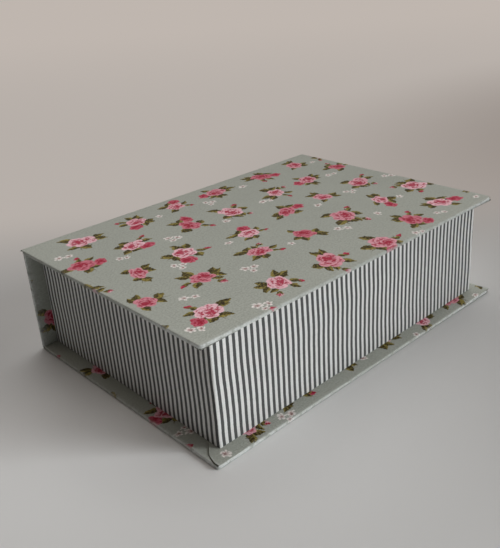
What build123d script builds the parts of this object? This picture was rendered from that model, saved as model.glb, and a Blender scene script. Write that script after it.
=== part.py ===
"""Book-style sewing box: a cloth-covered case of three boards that closes round a striped tray.

The case is one cover board, one spine board and one base board, wrapped in flowered cloth that also makes
the two hinges along the spine. The tray is glued to the base board, so that board stands out past the tray
at the head, the tail and the fore-edge. The spine is free of the tray: it swings down flat behind the box,
and the cover swings up from the spine.

Millimetres. +X runs along the spine, +Y points to the spine, +Z is up. The origin is on the table, under
the middle of the closed box.
"""

from build123d import *
import os

# The closed case
CASE_LENGTH = 300.0
CASE_DEPTH = 211.5
CASE_HEIGHT = 84.5
COVER_SETBACK = 2.8  # the cover's fore-edge lies this far behind the base's
COVER_SKEW = 1.5  # made by hand: the cover lies this much nearer the left end than the base
CORNER_RADIUS = 2.5  # softened corners of the cover and the base
EDGE_SOFTNESS = 0.5  # where the cloth turns over a board's edge

# Boards and cloths
BOARD = 2.0
CLOTH = 0.35
TURN_IN = 18.0  # cloth turned over on to the inner face of a board
MITRE_GAP = 0.3  # open seam where two turn-ins meet at a corner

# Joints between the boards
JOINT_CLEARANCE = 0.4  # the free spine keeps this from the cover, the base and the tray
FOLD_CLEARANCE = 0.05  # between the rolled fold of the cloth and the flat cloth beside it
JOINT_LAP = 22.0  # how far the joint lining reaches under the cover and under the tray
SPINE_BOARD_INSET = 1.6  # the spine's board stops this far inside each hinge line, for a soft fold
SPINE_LINING_MARGIN = 14.0  # the spine's lining stops this far from its ends

# Tray
BASE_SQUARE = 11.5  # how far the base stands out past the tray
RIM_CLEARANCE = 0.3  # the closed cover lies this far above the tray's rim
TRAY_TURN_DOWN = 16.0  # striped cloth turned down inside the walls
TRAY_TURN_UNDER = 14.0  # striped cloth turned in under the walls
TRAY_CORNER_RADIUS = 1.0

# Lining panels: thin card covered in cloth
PANEL = 0.8
PANEL_DROP = 5.0  # the wall panels stop this far under the rim
PANEL_INSET = 5.0  # border of flowered cloth left round the cover's panel

# Dividers: boards with cloth folded over their top edge
DIVIDER_BOARD = 1.5
DIVIDER_HEIGHT = 52.0
DIVIDER_END_GAP = 0.3
SLOT_CLEARANCE = 0.15  # each side, where two dividers cross
LONG_DIVIDER_Y = -6.0
CROSS_DIVIDER_X = 46.0  # the two cross dividers stand this far each side of the middle

# Levels
COVERED_BOARD = BOARD + 2 * CLOTH
LINED_SPINE = BOARD + 2 * CLOTH  # board, turn-in and lining, from the hinge line inwards
TRAY_BOTTOM = COVERED_BOARD
WALL_BOTTOM = TRAY_BOTTOM + CLOTH
COVER_UNDERSIDE = CASE_HEIGHT - COVERED_BOARD - PANEL
RIM = COVER_UNDERSIDE - RIM_CLEARANCE
WALL_TOP = RIM - CLOTH
FLOOR_TOP = WALL_BOTTOM + BOARD
PANEL_FLOOR = FLOOR_TOP + PANEL
PANEL_TOP = RIM - PANEL_DROP

# Depths, along Y
HINGE_Y = CASE_DEPTH / 2 - CLOTH
LOWER_HINGE_Z = CLOTH
UPPER_HINGE_Z = CASE_HEIGHT - CLOTH
SPINE_BOARD_LEVELS = (LOWER_HINGE_Z + SPINE_BOARD_INSET, UPPER_HINGE_Z - SPINE_BOARD_INSET)
SPINE_LINED_LEVELS = (SPINE_BOARD_LEVELS[0] - CLOTH, SPINE_BOARD_LEVELS[1] + CLOTH)
JOINT_GAP = LINED_SPINE + JOINT_CLEARANCE + CLOTH
BOARD_BACK_Y = HINGE_Y - JOINT_GAP
BASE_FRONT_Y = -CASE_DEPTH / 2
COVER_FRONT_Y = BASE_FRONT_Y + COVER_SETBACK
TRAY_FRONT_Y = BASE_FRONT_Y + BASE_SQUARE
TRAY_BACK_Y = BOARD_BACK_Y + CLOTH

# Tray outlines, from the cloth inwards
TRAY_LENGTH = CASE_LENGTH - 2 * BASE_SQUARE
TRAY_DEPTH = TRAY_BACK_Y - TRAY_FRONT_Y
TRAY_MIDDLE_Y = (TRAY_BACK_Y + TRAY_FRONT_Y) / 2
WALLS_LENGTH = TRAY_LENGTH - 2 * CLOTH
WALLS_DEPTH = TRAY_DEPTH - 2 * CLOTH
INNER_LENGTH = WALLS_LENGTH - 2 * BOARD
INNER_DEPTH = WALLS_DEPTH - 2 * BOARD
LINED_LENGTH = INNER_LENGTH - 2 * (CLOTH + PANEL)
LINED_DEPTH = INNER_DEPTH - 2 * (CLOTH + PANEL)
DIVIDER = DIVIDER_BOARD + 2 * CLOTH


def plate(x_range, y_range, z_range):
    """Flat piece cut from sheet: its outline drawn in plan and given its thickness."""
    (x_low, x_high), (y_low, y_high), (z_low, z_high) = x_range, y_range, z_range
    middle = Pos((x_low + x_high) / 2, (y_low + y_high) / 2, z_low)
    return extrude(middle * Rectangle(x_high - x_low, y_high - y_low), z_high - z_low)


def ring(outer, inner, z_range, corner=0.0):
    """Band round the tray, between an outer and an inner rectangle centred on the tray."""
    outline = RectangleRounded(*outer, corner) if corner else Rectangle(*outer)
    band = outline - Rectangle(*inner)
    return extrude(Pos(0, TRAY_MIDDLE_Y, z_range[0]) * band, z_range[1] - z_range[0])


def both_ways(half):
    """A span from -half to +half."""
    return (-half, half)


def turned_over(part):
    """The same piece on the cover: the base's construction with its outer face up."""
    return mirror(part, about=Plane.XY.offset(CASE_HEIGHT / 2))


# Case boards and their cloth, drawn as the base lies: outer face down


def case_board(front_y):
    """Grey board of the base, with its fore-edge cloth at front_y. Both fore-edge corners are softened."""
    board = plate(
        both_ways(CASE_LENGTH / 2 - CLOTH),
        (front_y + CLOTH, BOARD_BACK_Y),
        (CLOTH, CLOTH + BOARD),
    )
    corners = board.edges().filter_by(Axis.Z).group_by(Axis.Y)[0]
    return fillet(corners, CORNER_RADIUS - CLOTH)


def case_cloth(front_y):
    """Cloth round three edges of a case board, turned in, mitred at the corners, with a flap to the hinge."""
    wrap = plate(both_ways(CASE_LENGTH / 2), (front_y, BOARD_BACK_Y), (0, COVERED_BOARD))
    wrap = fillet(wrap.edges().filter_by(Axis.Z).group_by(Axis.Y)[0], CORNER_RADIUS)
    outer_rim = wrap.faces().sort_by(Axis.Z)[0].edges()
    back = outer_rim.group_by(Axis.Y)[-1]
    wrap = fillet([edge for edge in outer_rim if edge not in back], EDGE_SOFTNESS)
    wrap -= case_board(front_y)
    inner_x = CASE_LENGTH / 2 - TURN_IN
    wrap -= plate(
        both_ways(inner_x),
        (front_y + TURN_IN, BOARD_BACK_Y + CLOTH),
        (CLOTH + BOARD, COVERED_BOARD + CLOTH),
    )
    diagonal = TURN_IN * 2**0.5
    for side in (-1, 1):
        seam = Box(diagonal, MITRE_GAP, CLOTH, align=(Align.MIN, Align.CENTER, Align.MIN))
        corner = Pos(side * CASE_LENGTH / 2, front_y, CLOTH + BOARD)
        inward = 135 if side > 0 else 45
        start = Pos(CORNER_RADIUS, 0, 0)  # the seam closes where the corner is rounded
        wrap -= corner * Rot(0, 0, inward) * start * seam
    flap_end = HINGE_Y - CLOTH - FOLD_CLEARANCE
    flap = plate(both_ways(CASE_LENGTH / 2 - EDGE_SOFTNESS), (BOARD_BACK_Y, flap_end), (0, CLOTH))
    return wrap + flap


def joint_lining():
    """Plain cloth over the back edge of a case board and on to its inner face."""
    half = CASE_LENGTH / 2 - TURN_IN
    profile = Polyline(
        (BOARD_BACK_Y, CLOTH),
        (BOARD_BACK_Y + CLOTH, CLOTH),
        (BOARD_BACK_Y + CLOTH, COVERED_BOARD),
        (BOARD_BACK_Y - JOINT_LAP, COVERED_BOARD),
        (BOARD_BACK_Y - JOINT_LAP, CLOTH + BOARD),
        (BOARD_BACK_Y, CLOTH + BOARD),
        close=True,
    )
    section = Plane.YZ.offset(-half) * make_face(profile)
    return extrude(section, 2 * half)


def cover_lining_panel():
    """Covered card on the underside of the cover, inside a border of the flowered turn-ins."""
    return plate(
        both_ways(CASE_LENGTH / 2 - PANEL_INSET),
        (COVER_FRONT_Y + PANEL_INSET, BOARD_BACK_Y - PANEL_INSET / 2),
        (COVER_UNDERSIDE, COVER_UNDERSIDE + PANEL),
    )


# Spine


def spine_board():
    return plate(both_ways(CASE_LENGTH / 2 - CLOTH), (HINGE_Y - BOARD, HINGE_Y), SPINE_BOARD_LEVELS)


def spine_cloth():
    """Cloth on the spine: rolled round both hinge lines, and turned in over the two ends of the board."""
    outer_face = Pos(HINGE_Y, LOWER_HINGE_Z) * Rectangle(
        CLOTH, UPPER_HINGE_Z - LOWER_HINGE_Z, align=(Align.MIN, Align.MIN)
    )
    section = outer_face
    for hinge_z, away in ((LOWER_HINGE_Z, Align.MAX), (UPPER_HINGE_Z, Align.MIN)):
        roll = Circle(CLOTH) & Rectangle(2 * CLOTH, CLOTH, align=(Align.CENTER, away))
        section += Pos(HINGE_Y, hinge_z) * roll
    cloth = extrude(Plane.YZ.offset(-CASE_LENGTH / 2) * section, CASE_LENGTH)
    for side in (-1, 1):
        end, stop = side * CASE_LENGTH / 2, side * (CASE_LENGTH / 2 - TURN_IN)
        turn_in = plate(
            sorted((end, stop)),
            (HINGE_Y - BOARD - CLOTH, HINGE_Y + CLOTH),
            SPINE_LINED_LEVELS,
        )
        cloth += turn_in - spine_board()
    return cloth


def spine_lining():
    """Plain cloth round the spine's board between the turn-ins, lapped over them on the inner face."""
    inner_y = HINGE_Y - LINED_SPINE
    lap = plate(
        both_ways(CASE_LENGTH / 2 - SPINE_LINING_MARGIN),
        (inner_y, inner_y + CLOTH),
        SPINE_LINED_LEVELS,
    )
    between = plate(
        both_ways(CASE_LENGTH / 2 - TURN_IN), (inner_y + CLOTH, HINGE_Y), SPINE_LINED_LEVELS
    )
    return lap + between - spine_board()


# Tray


def side_wall(side):
    """Tray wall at the tail (side -1) or the head (side 1), the full depth of the tray."""
    outer, inner = side * WALLS_LENGTH / 2, side * INNER_LENGTH / 2
    half_depth = WALLS_DEPTH / 2
    return plate(
        sorted((outer, inner)),
        (TRAY_MIDDLE_Y - half_depth, TRAY_MIDDLE_Y + half_depth),
        (WALL_BOTTOM, WALL_TOP),
    )


def long_wall(side):
    """Tray wall at the fore-edge (side -1) or the spine (side 1), between the two side walls."""
    outer = TRAY_MIDDLE_Y + side * WALLS_DEPTH / 2
    inner = TRAY_MIDDLE_Y + side * INNER_DEPTH / 2
    return plate(both_ways(INNER_LENGTH / 2), sorted((outer, inner)), (WALL_BOTTOM, WALL_TOP))


def tray_floor_board():
    half_depth = INNER_DEPTH / 2
    return plate(
        both_ways(INNER_LENGTH / 2),
        (TRAY_MIDDLE_Y - half_depth, TRAY_MIDDLE_Y + half_depth),
        (WALL_BOTTOM, FLOOR_TOP),
    )


def tray_cloth():
    """Striped cloth: round the four walls, over the rim and down inside, and turned in under the tray."""
    tray = (TRAY_LENGTH, TRAY_DEPTH)
    walls = (WALLS_LENGTH, WALLS_DEPTH)
    inner = (INNER_LENGTH, INNER_DEPTH)
    faced = (INNER_LENGTH - 2 * CLOTH, INNER_DEPTH - 2 * CLOTH)
    under = (WALLS_LENGTH - 2 * TRAY_TURN_UNDER, WALLS_DEPTH - 2 * TRAY_TURN_UNDER)
    outside = ring(tray, walls, (TRAY_BOTTOM, RIM), TRAY_CORNER_RADIUS)
    over_rim = ring(walls, faced, (WALL_TOP, RIM))
    down_inside = ring(inner, faced, (RIM - TRAY_TURN_DOWN, WALL_TOP))
    underneath = ring(walls, under, (TRAY_BOTTOM, WALL_BOTTOM))
    return outside + over_rim + down_inside + underneath


def floor_lining_panel():
    half_depth = INNER_DEPTH / 2
    return plate(
        both_ways(INNER_LENGTH / 2),
        (TRAY_MIDDLE_Y - half_depth, TRAY_MIDDLE_Y + half_depth),
        (FLOOR_TOP, PANEL_FLOOR),
    )


def long_lining_panel(side):
    """Covered card inside the fore-edge wall (side -1) or the spine wall (side 1)."""
    back = TRAY_MIDDLE_Y + side * (INNER_DEPTH / 2 - CLOTH)
    front = back - side * PANEL
    half = INNER_LENGTH / 2 - CLOTH
    return plate(both_ways(half), sorted((front, back)), (PANEL_FLOOR, PANEL_TOP))


def side_lining_panel(side):
    """Covered card inside the tail wall (side -1) or the head wall (side 1), between the long panels."""
    back = side * (INNER_LENGTH / 2 - CLOTH)
    front = back - side * PANEL
    half_depth = LINED_DEPTH / 2
    return plate(
        sorted((front, back)),
        (TRAY_MIDDLE_Y - half_depth, TRAY_MIDDLE_Y + half_depth),
        (PANEL_FLOOR, PANEL_TOP),
    )


# Dividers, halved into each other where they cross


def divider(length, slots, slots_open_up):
    """(board, cloth) of a divider along X on the lined floor, with half-height slots at the given places."""
    board_height = DIVIDER_HEIGHT - CLOTH
    whole = Rectangle(length, DIVIDER_HEIGHT, align=(Align.CENTER, Align.MIN))
    core = Rectangle(length, board_height, align=(Align.CENTER, Align.MIN))
    slot_width = DIVIDER + 2 * SLOT_CLEARANCE
    slot_height = DIVIDER_HEIGHT / 2 + SLOT_CLEARANCE
    slot_bottom = DIVIDER_HEIGHT - slot_height if slots_open_up else 0.0
    for place in slots:
        cut = Pos(place, slot_bottom) * Rectangle(
            slot_width, slot_height, align=(Align.CENTER, Align.MIN)
        )
        whole -= cut
        core -= cut
    board = extrude(Plane.XZ * core, DIVIDER_BOARD / 2, both=True)
    folded = extrude(Plane.XZ * whole, DIVIDER / 2, both=True)
    on_floor = Pos(0, 0, PANEL_FLOOR)
    return on_floor * board, on_floor * (folded - board)


def placed_dividers():
    """Every divider's board and cloth, by node name."""
    made = {}
    board, cloth = divider(
        LINED_LENGTH - 2 * DIVIDER_END_GAP, (-CROSS_DIVIDER_X, CROSS_DIVIDER_X), slots_open_up=True
    )
    made["long_divider_board"] = Pos(0, LONG_DIVIDER_Y, 0) * board
    made["long_divider_cloth"] = Pos(0, LONG_DIVIDER_Y, 0) * cloth
    crossing = LONG_DIVIDER_Y - TRAY_MIDDLE_Y
    board, cloth = divider(LINED_DEPTH - 2 * DIVIDER_END_GAP, (crossing,), slots_open_up=False)
    for name, x in (("left", -CROSS_DIVIDER_X), ("right", CROSS_DIVIDER_X)):
        place = Pos(x, TRAY_MIDDLE_Y, 0) * Rot(0, 0, 90)
        made[f"{name}_cross_divider_board"] = place * board
        made[f"{name}_cross_divider_cloth"] = place * cloth
    return made


def cover_parts():
    return {
        "cover_board": turned_over(case_board(COVER_FRONT_Y)),
        "cover_cloth": turned_over(case_cloth(COVER_FRONT_Y)),
        "cover_joint_lining": turned_over(joint_lining()),
        "cover_lining_panel": cover_lining_panel(),
    }


def spine_and_base_parts():
    return {
        "spine_board": spine_board(),
        "spine_cloth": spine_cloth(),
        "spine_lining": spine_lining(),
        "base_board": case_board(BASE_FRONT_Y),
        "base_cloth": case_cloth(BASE_FRONT_Y),
        "base_joint_lining": joint_lining(),
        "tray_floor_board": tray_floor_board(),
        "tray_front_wall": long_wall(-1),
        "tray_back_wall": long_wall(1),
        "tray_left_wall": side_wall(-1),
        "tray_right_wall": side_wall(1),
        "tray_cloth": tray_cloth(),
        "floor_lining_panel": floor_lining_panel(),
        "front_lining_panel": long_lining_panel(-1),
        "back_lining_panel": long_lining_panel(1),
        "left_lining_panel": side_lining_panel(-1),
        "right_lining_panel": side_lining_panel(1),
        **placed_dividers(),
    }


def build():
    """Every sub-part of the box, closed, by node name."""
    parts = {name: Pos(-COVER_SKEW / 2, 0, 0) * shape for name, shape in cover_parts().items()}
    for name, shape in spine_and_base_parts().items():
        parts[name] = Pos(COVER_SKEW / 2, 0, 0) * shape
    return parts


os.makedirs("parts", exist_ok=True)
for node, shape in build().items():
    export_step(shape, f"parts/{node}.step")
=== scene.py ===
"""Looks of a book-style sewing box: flowered cloth on three hinged boards, round a tray in striped cloth.

Every piece is worked out from the boxes of the solids it covers, in metres: +X runs along the spine, +Y
points to the spine and +Z is up. Cloth carries a point attribute called cut. Its x and y are the place on the
flat cloth in millimetres. Its z, from 0 to 1, says how much its edge is made paler, as wear and as a painted
highlight; below 0 it says how much shade is painted into an open seam.
The prints and the weave are drawn on that attribute, so they run over the edges as they do on real cloth.
"""

import math

import bmesh
import bpy
import numpy as np
from bpy.props import FloatProperty, FloatVectorProperty, PointerProperty
from bpy.types import Operator, Panel, PropertyGroup
from mathutils import Matrix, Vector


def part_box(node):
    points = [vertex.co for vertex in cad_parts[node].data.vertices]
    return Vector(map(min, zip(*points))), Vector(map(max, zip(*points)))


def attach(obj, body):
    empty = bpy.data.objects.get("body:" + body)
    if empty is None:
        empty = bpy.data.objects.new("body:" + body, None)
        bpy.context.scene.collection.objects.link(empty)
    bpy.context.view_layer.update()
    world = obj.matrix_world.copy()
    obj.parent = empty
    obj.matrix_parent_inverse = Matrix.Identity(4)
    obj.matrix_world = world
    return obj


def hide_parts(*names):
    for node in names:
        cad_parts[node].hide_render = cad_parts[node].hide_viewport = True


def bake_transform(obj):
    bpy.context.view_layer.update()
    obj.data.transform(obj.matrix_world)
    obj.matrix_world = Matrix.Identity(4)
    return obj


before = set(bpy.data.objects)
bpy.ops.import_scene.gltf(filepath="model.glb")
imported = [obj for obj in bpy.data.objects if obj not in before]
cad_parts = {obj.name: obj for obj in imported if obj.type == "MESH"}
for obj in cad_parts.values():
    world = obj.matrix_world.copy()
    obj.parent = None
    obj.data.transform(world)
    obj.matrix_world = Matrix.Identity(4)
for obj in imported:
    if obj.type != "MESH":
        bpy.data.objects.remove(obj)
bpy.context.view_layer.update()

bl_info = {
    "name": "Book-Style Sewing Box",
    "version": (1, 0, 0),
    "blender": (4, 5, 0),
    "location": "3D View > Sidebar > Sewing Box",
    "description": "Cloth, linings, boards and studio for a book-style sewing box",
    "category": "Object",
}

MM = 0.001
CUT = "cut"
OVER_BOARD = 0.35 * MM


# Settings


def length(name, description, default):
    """A size in metres that the user may change."""
    return FloatProperty(name=name, description=description, default=default, min=0.0, unit="LENGTH")


def number(name, description, default, least=0.0):
    """A plain number that the user may change."""
    return FloatProperty(name=name, description=description, default=default, min=least)


def angle(name, description, degrees):
    """An angle that the user may change."""
    return FloatProperty(name=name, description=description, default=math.radians(degrees), subtype="ANGLE")


def colour(name, description, default):
    """A linear colour that the user may change."""
    return FloatVectorProperty(
        name=name, description=description, default=default, subtype="COLOR", min=0.0, max=1.0
    )


class SewingBoxShapes(PropertyGroup):
    edge_radius: length("Edge radius", "Rounding of the cloth where it turns over a board", 0.8 * MM)
    corner_radius: length("Corner radius", "Rounding of the near corners in plan", 2.5 * MM)
    far_corner_radius: length("Far corner radius", "Rounding of the blunter corners at the head", 4.6 * MM)
    cloth_thickness: length("Cloth thickness", "Thickness of the cotton outside", 0.3 * MM)
    lining_thickness: length("Lining thickness", "Thickness of the plain cloth inside", 0.25 * MM)
    turn_in: length("Turn-in", "Width of the cloth turned over on to the inner face", 18.0 * MM)
    fold_radius: length("Fold radius", "Softness of the cloth where a joint folds", 1.5 * MM)
    fold_thickness: length("Fold thickness", "Both cloths together where a joint folds", 0.5 * MM)
    bend_radius: length("Lining bend", "Rounding of the plain cloth over a board's edge", 0.5 * MM)
    rim_radius: length("Rim radius", "Rounding of the striped cloth over the tray's rim", 0.9 * MM)
    wall_corner_radius: length("Tray corner radius", "Rounding of the tray's upright corners", 1.2 * MM)
    tray_turn_down: length("Tray turn-down", "Striped cloth turned down inside the tray", 16.0 * MM)
    seam_lap: length("Seam lap", "Overlap where the striped cloth's ends meet", 11.0 * MM)
    card_radius: length("Card edge radius", "Rounding of the covered cards and dividers", 0.35 * MM)


class SewingBoxColours(PropertyGroup):
    ground: colour("Ground", "Sage green of the flowered cloth", (0.345, 0.363, 0.325))
    rose_deep: colour("Deep rose", "Darkest pink of the petals", (0.30, 0.008, 0.028))
    rose_mid: colour("Rose", "Middle pink of the petals", (0.49, 0.064, 0.115))
    rose_pale: colour("Pale rose", "Lightest pink of the petals", (0.77, 0.49, 0.55))
    leaf_dark: colour("Dark leaf", "Shaded green of the leaves", (0.034, 0.024, 0.007))
    leaf_light: colour("Light leaf", "Lit green of the leaves", (0.295, 0.240, 0.058))
    blossom: colour("Small flowers", "White of the small flowers", (0.80, 0.76, 0.74))
    stripe_white: colour("White stripe", "White of the striped cloth", (0.84, 0.85, 0.84))
    stripe_grey: colour("Grey stripe", "Slate grey of the striped cloth", (0.082, 0.085, 0.086))
    lining: colour("Lining", "Unbleached cotton inside the box", (0.66, 0.60, 0.50))
    board: colour("Board", "Grey bookbinder's board", (0.30, 0.285, 0.26))
    table: colour("Table", "Pale table near the box", (0.88, 0.889, 0.889))
    far_table: colour("Far table", "Table behind the box, as the camera sees it", (0.467, 0.425, 0.393))
    wall: colour("Background", "Furthest background, as the camera sees it", (0.522, 0.468, 0.428))


class SewingBoxPrint(PropertyGroup):
    sprig_spacing_x: number("Sprig spacing across", "Millimetres between sprigs in a row", 46.0, 30.0)
    sprig_spacing_y: number("Sprig spacing down", "Millimetres between rows of sprigs", 42.0, 30.0)
    stripe_pitch: number("Stripe pitch", "Millimetres from one grey stripe to the next", 4.8, 1.0)
    thread_pitch: number("Thread pitch", "Millimetres between threads of the weave", 0.42, 0.1)


class SewingBoxStudio(PropertyGroup):
    camera_place: FloatVectorProperty(
        name="Camera place", description="Where the camera stands", default=(-0.35225, -0.38079, 0.28694),
        subtype="TRANSLATION", unit="LENGTH",
    )
    camera_heading: angle("Heading", "Turn of the view from +Y towards +X", 42.602)
    camera_tilt: angle("Tilt", "How far the view looks down", 23.889)
    camera_roll: angle("Roll", "Lean of the camera to its right", 3.610)
    camera_lens: number("Lens", "Focal length in millimetres", 47.836, 1.0)
    camera_shift: FloatVectorProperty(
        name="Shift", description="Framing of the photograph", size=2, default=(-0.03187, -0.03508)
    )
    key_power: number("Window", "Power in watts", 19.5)
    glow_power: number("Front glow", "Power in watts", 0.17)
    fill_strength: number("Room light", "Strength of its bright part", 1.46)
    dim_strength: number("Room behind", "Strength of its weak part", 0.16)


def settings():
    """The values that the user may change: shapes, colours, print and studio."""
    scene = bpy.context.scene
    return scene.sewing_box_shapes, scene.sewing_box_colours, scene.sewing_box_print, scene.sewing_box_studio


# Surfaces


def spread(start, stop, count):
    """Even steps from start to stop."""
    return np.linspace(start, stop, count)


def run_along(first, second):
    """How far each point of a line lies from its start, measured along it. The arrays are its coordinates."""
    return np.concatenate([[0], np.cumsum(np.hypot(np.diff(first), np.diff(second)))])


def close_to(distance, reach):
    """1 at no distance, falling evenly to 0 at reach."""
    return np.clip(1 - distance / reach, 0, 1)


def quarter_turn(radius, steps):
    """(away, along) of a quarter circle that leaves a flat face and ends square to it. The first point is
    left out."""
    turn = spread(0, math.pi / 2, steps + 1)[1:]
    return radius * np.sin(turn), radius * (1 - np.cos(turn))


class Surface:
    """Collects grids of points, each with its place on the cut cloth, into one mesh."""

    def __init__(self):
        self.points, self.cuts, self.faces, self.slots = [], [], [], []
        self.count = 0

    def grid(self, x, y, z, cut_x, cut_y, wear_and_painted_light=0.0, slot=0):
        """Quads over a grid of points. The arrays are spread to one shape of (rows, columns), and the places
        on the cut cloth are in metres, as the points are."""
        values = np.broadcast_arrays(x, y, z, cut_x / MM, cut_y / MM, wear_and_painted_light)
        rows, columns = values[0].shape
        corner = np.arange(rows - 1)[:, None] * columns + np.arange(columns - 1) + self.count
        faces = np.stack([corner, corner + 1, corner + columns + 1, corner + columns], -1).reshape(-1, 4)
        self.points.append(np.stack(values[:3], -1).reshape(-1, 3))
        self.cuts.append(np.stack(values[3:], -1).reshape(-1, 3))
        self.faces.append(faces)
        self.slots.append(np.full(len(faces), slot))
        self.count += rows * columns

    def piece(self, name, materials, merge=True, thickness=0.0):
        """The object: doubles merged, normals outwards, smooth, and thickened inwards if it is open cloth."""
        mesh = bpy.data.meshes.new(name)
        mesh.from_pydata(np.concatenate(self.points), [], np.concatenate(self.faces))
        cuts = np.concatenate(self.cuts).astype(np.float32)
        mesh.attributes.new(CUT, "FLOAT_VECTOR", "POINT").data.foreach_set("vector", cuts.ravel())
        mesh.polygons.foreach_set("material_index", np.concatenate(self.slots).astype(np.int32))
        for material in materials:
            mesh.materials.append(material)
        work = bmesh.new()
        work.from_mesh(mesh)
        if merge:
            bmesh.ops.remove_doubles(work, verts=work.verts, dist=2e-6)
        bmesh.ops.dissolve_degenerate(work, edges=work.edges, dist=1e-7)
        bmesh.ops.recalc_face_normals(work, faces=work.faces)
        work.to_mesh(mesh)
        work.free()
        mesh.shade_smooth()
        piece = bpy.data.objects.new(name, mesh)
        bpy.context.scene.collection.objects.link(piece)
        if thickness:
            solidify = piece.modifiers.new("Cloth thickness", "SOLIDIFY")
            solidify.thickness = thickness
            solidify.offset = -1.0
        piece.modifiers.new("Crisp edges", "WEIGHTED_NORMAL").keep_sharp = True
        return piece


def edge_profile(border, radius, depth, inner):
    """Cloth's section over a board's edge: how far inside the outline it is, how deep below the outer face,
    and how far it reaches over the edge, measured on the flat cloth. It runs from border on the outer face,
    round the edge, and over the inner face to each inset in inner."""
    away, along = quarter_turn(radius, 5)
    inset = np.concatenate([[border, radius], radius - away, along[:-1], [radius], inner])
    drop = np.concatenate([[0, 0], along, depth - radius + away[:-1], [depth], np.full(len(inner), depth)])
    return inset, drop, run_along(inset, drop) - border


def half_wrap(x, y, corner, inset, reach, sides, front, corners=5):
    """Plan places and cut places of a wrapped edge, from the back of the side at x[0], round the corner, to
    x[1] on the front. x[0] is the side's outline, and x[1] lies to its right or, for a mirrored half, to its
    left."""
    sign = math.copysign(1, x[1] - x[0])
    inset, reach = inset[:, None], reach[:, None]
    turn = np.maximum(inset, corner)
    bend = np.maximum(corner - inset, 0)
    over = np.maximum(reach, 0)
    past = np.where(reach > 0, corner, 0)
    side_y = y[1] + spread(0, 1, sides) * (y[0] + turn - y[1])
    front_x = turn + spread(0, 1, front) * (abs(x[1] - x[0]) - turn)
    way = spread(math.pi, 1.5 * math.pi, corners + 2)[1:-1]
    round_x, round_y = turn + bend * np.cos(way), y[0] + turn + bend * np.sin(way)
    front_y = y[0] + inset + 0 * front_x
    plan_x = [inset + 0 * side_y, round_x, front_x]
    plan_y = [side_y, round_y, front_y]
    cut_x = [
        np.where(over > 0, -over, inset) + 0 * side_y,
        np.where(over > 0, past + (corner + over) * np.cos(way), round_x),
        front_x,
    ]
    cut_y = [
        side_y,
        np.where(over > 0, y[0] + past + (corner + over) * np.sin(way), round_y),
        np.where(over > 0, y[0] - over, front_y),
    ]
    plan_x, plan_y, cut_x, cut_y = (np.concatenate(parts, 1) for parts in (plan_x, plan_y, cut_x, cut_y))
    return x[0] + sign * plan_x, plan_y, x[0] + sign * cut_x, cut_y


def wrapped_board(surface, x, y, z, corner, radius, turn_in, flat_y, sides=36, front=52):
    """Cloth over three edges of a flat board. x is (left, right), y is (front, back), z is (outer face, inner
    face), and corner is the two front corners' radii. The section of edge_profile is carried along the left
    side, the front and the right side, and the outer face is a flat grid inside it. flat_y turns a y into a
    place on the cut cloth."""
    border, rub_and_highlight_reach, rub_and_highlight_width = 5 * MM, 75 * MM, 1.5 * MM
    thick = abs(z[1] - z[0])
    inset, drop, reach = edge_profile(border, radius, thick, np.array([0.17, 0.3, 0.45, 1.0]) * turn_in)
    middle = (x[0] + x[1]) / 2
    left, right = (half_wrap((x[k], middle), y, corner[k], inset, reach, sides, front // 2) for k in (0, 1))
    plan_x, plan_y, cut_x, cut_y = (np.concatenate([a, b[:, -2::-1]], 1) for a, b in zip(left, right))
    height = z[0] + math.copysign(1, z[1] - z[0]) * drop[:, None]
    from_corner = np.minimum(np.abs(plan_x - x[0]), np.abs(plan_x - x[1])) + plan_y - y[0]
    # a paler band along the turned edge, stronger near the front corners: wear, and a painted highlight on
    # the rounded edge
    wear_and_painted_light = np.exp(-((reach[:, None] - 0.45 * thick) / rub_and_highlight_width) ** 2)
    wear_and_painted_light = wear_and_painted_light * (0.5 + 0.8 * np.exp(-from_corner / rub_and_highlight_reach))
    surface.grid(plan_x, plan_y, height, cut_x, flat_y(cut_y), wear_and_painted_light)
    across = spread(x[0] + border, x[1] - border, front)
    down = spread(y[1], y[0] + border, sides)[:, None]
    surface.grid(across, down, z[0], across, flat_y(down))
    # over the ends of the back edge, where the turn-ins carry on, in another part of the print
    proud, aside = 0.3 * MM, 200 * MM
    for end, sign in ((x[0], 1), (x[1], -1)):
        across = spread(end + sign * radius, end + sign * turn_in, 6)
        up = spread(z[0], z[1], 4)[:, None]
        surface.grid(across, y[1] + proud, up, across + aside, up)


# the seam's line at a front corner: how far along the front and how far from it
SEAM_ALONG = np.array([0.9, 0.75, 2.2, 3.4, 6.4, 9.6, 12.0]) * MM
SEAM_DEEP = np.array([0.5, 4.3, 9.1, 12.3, 16.2, 19.9, 22.5]) * MM


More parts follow.
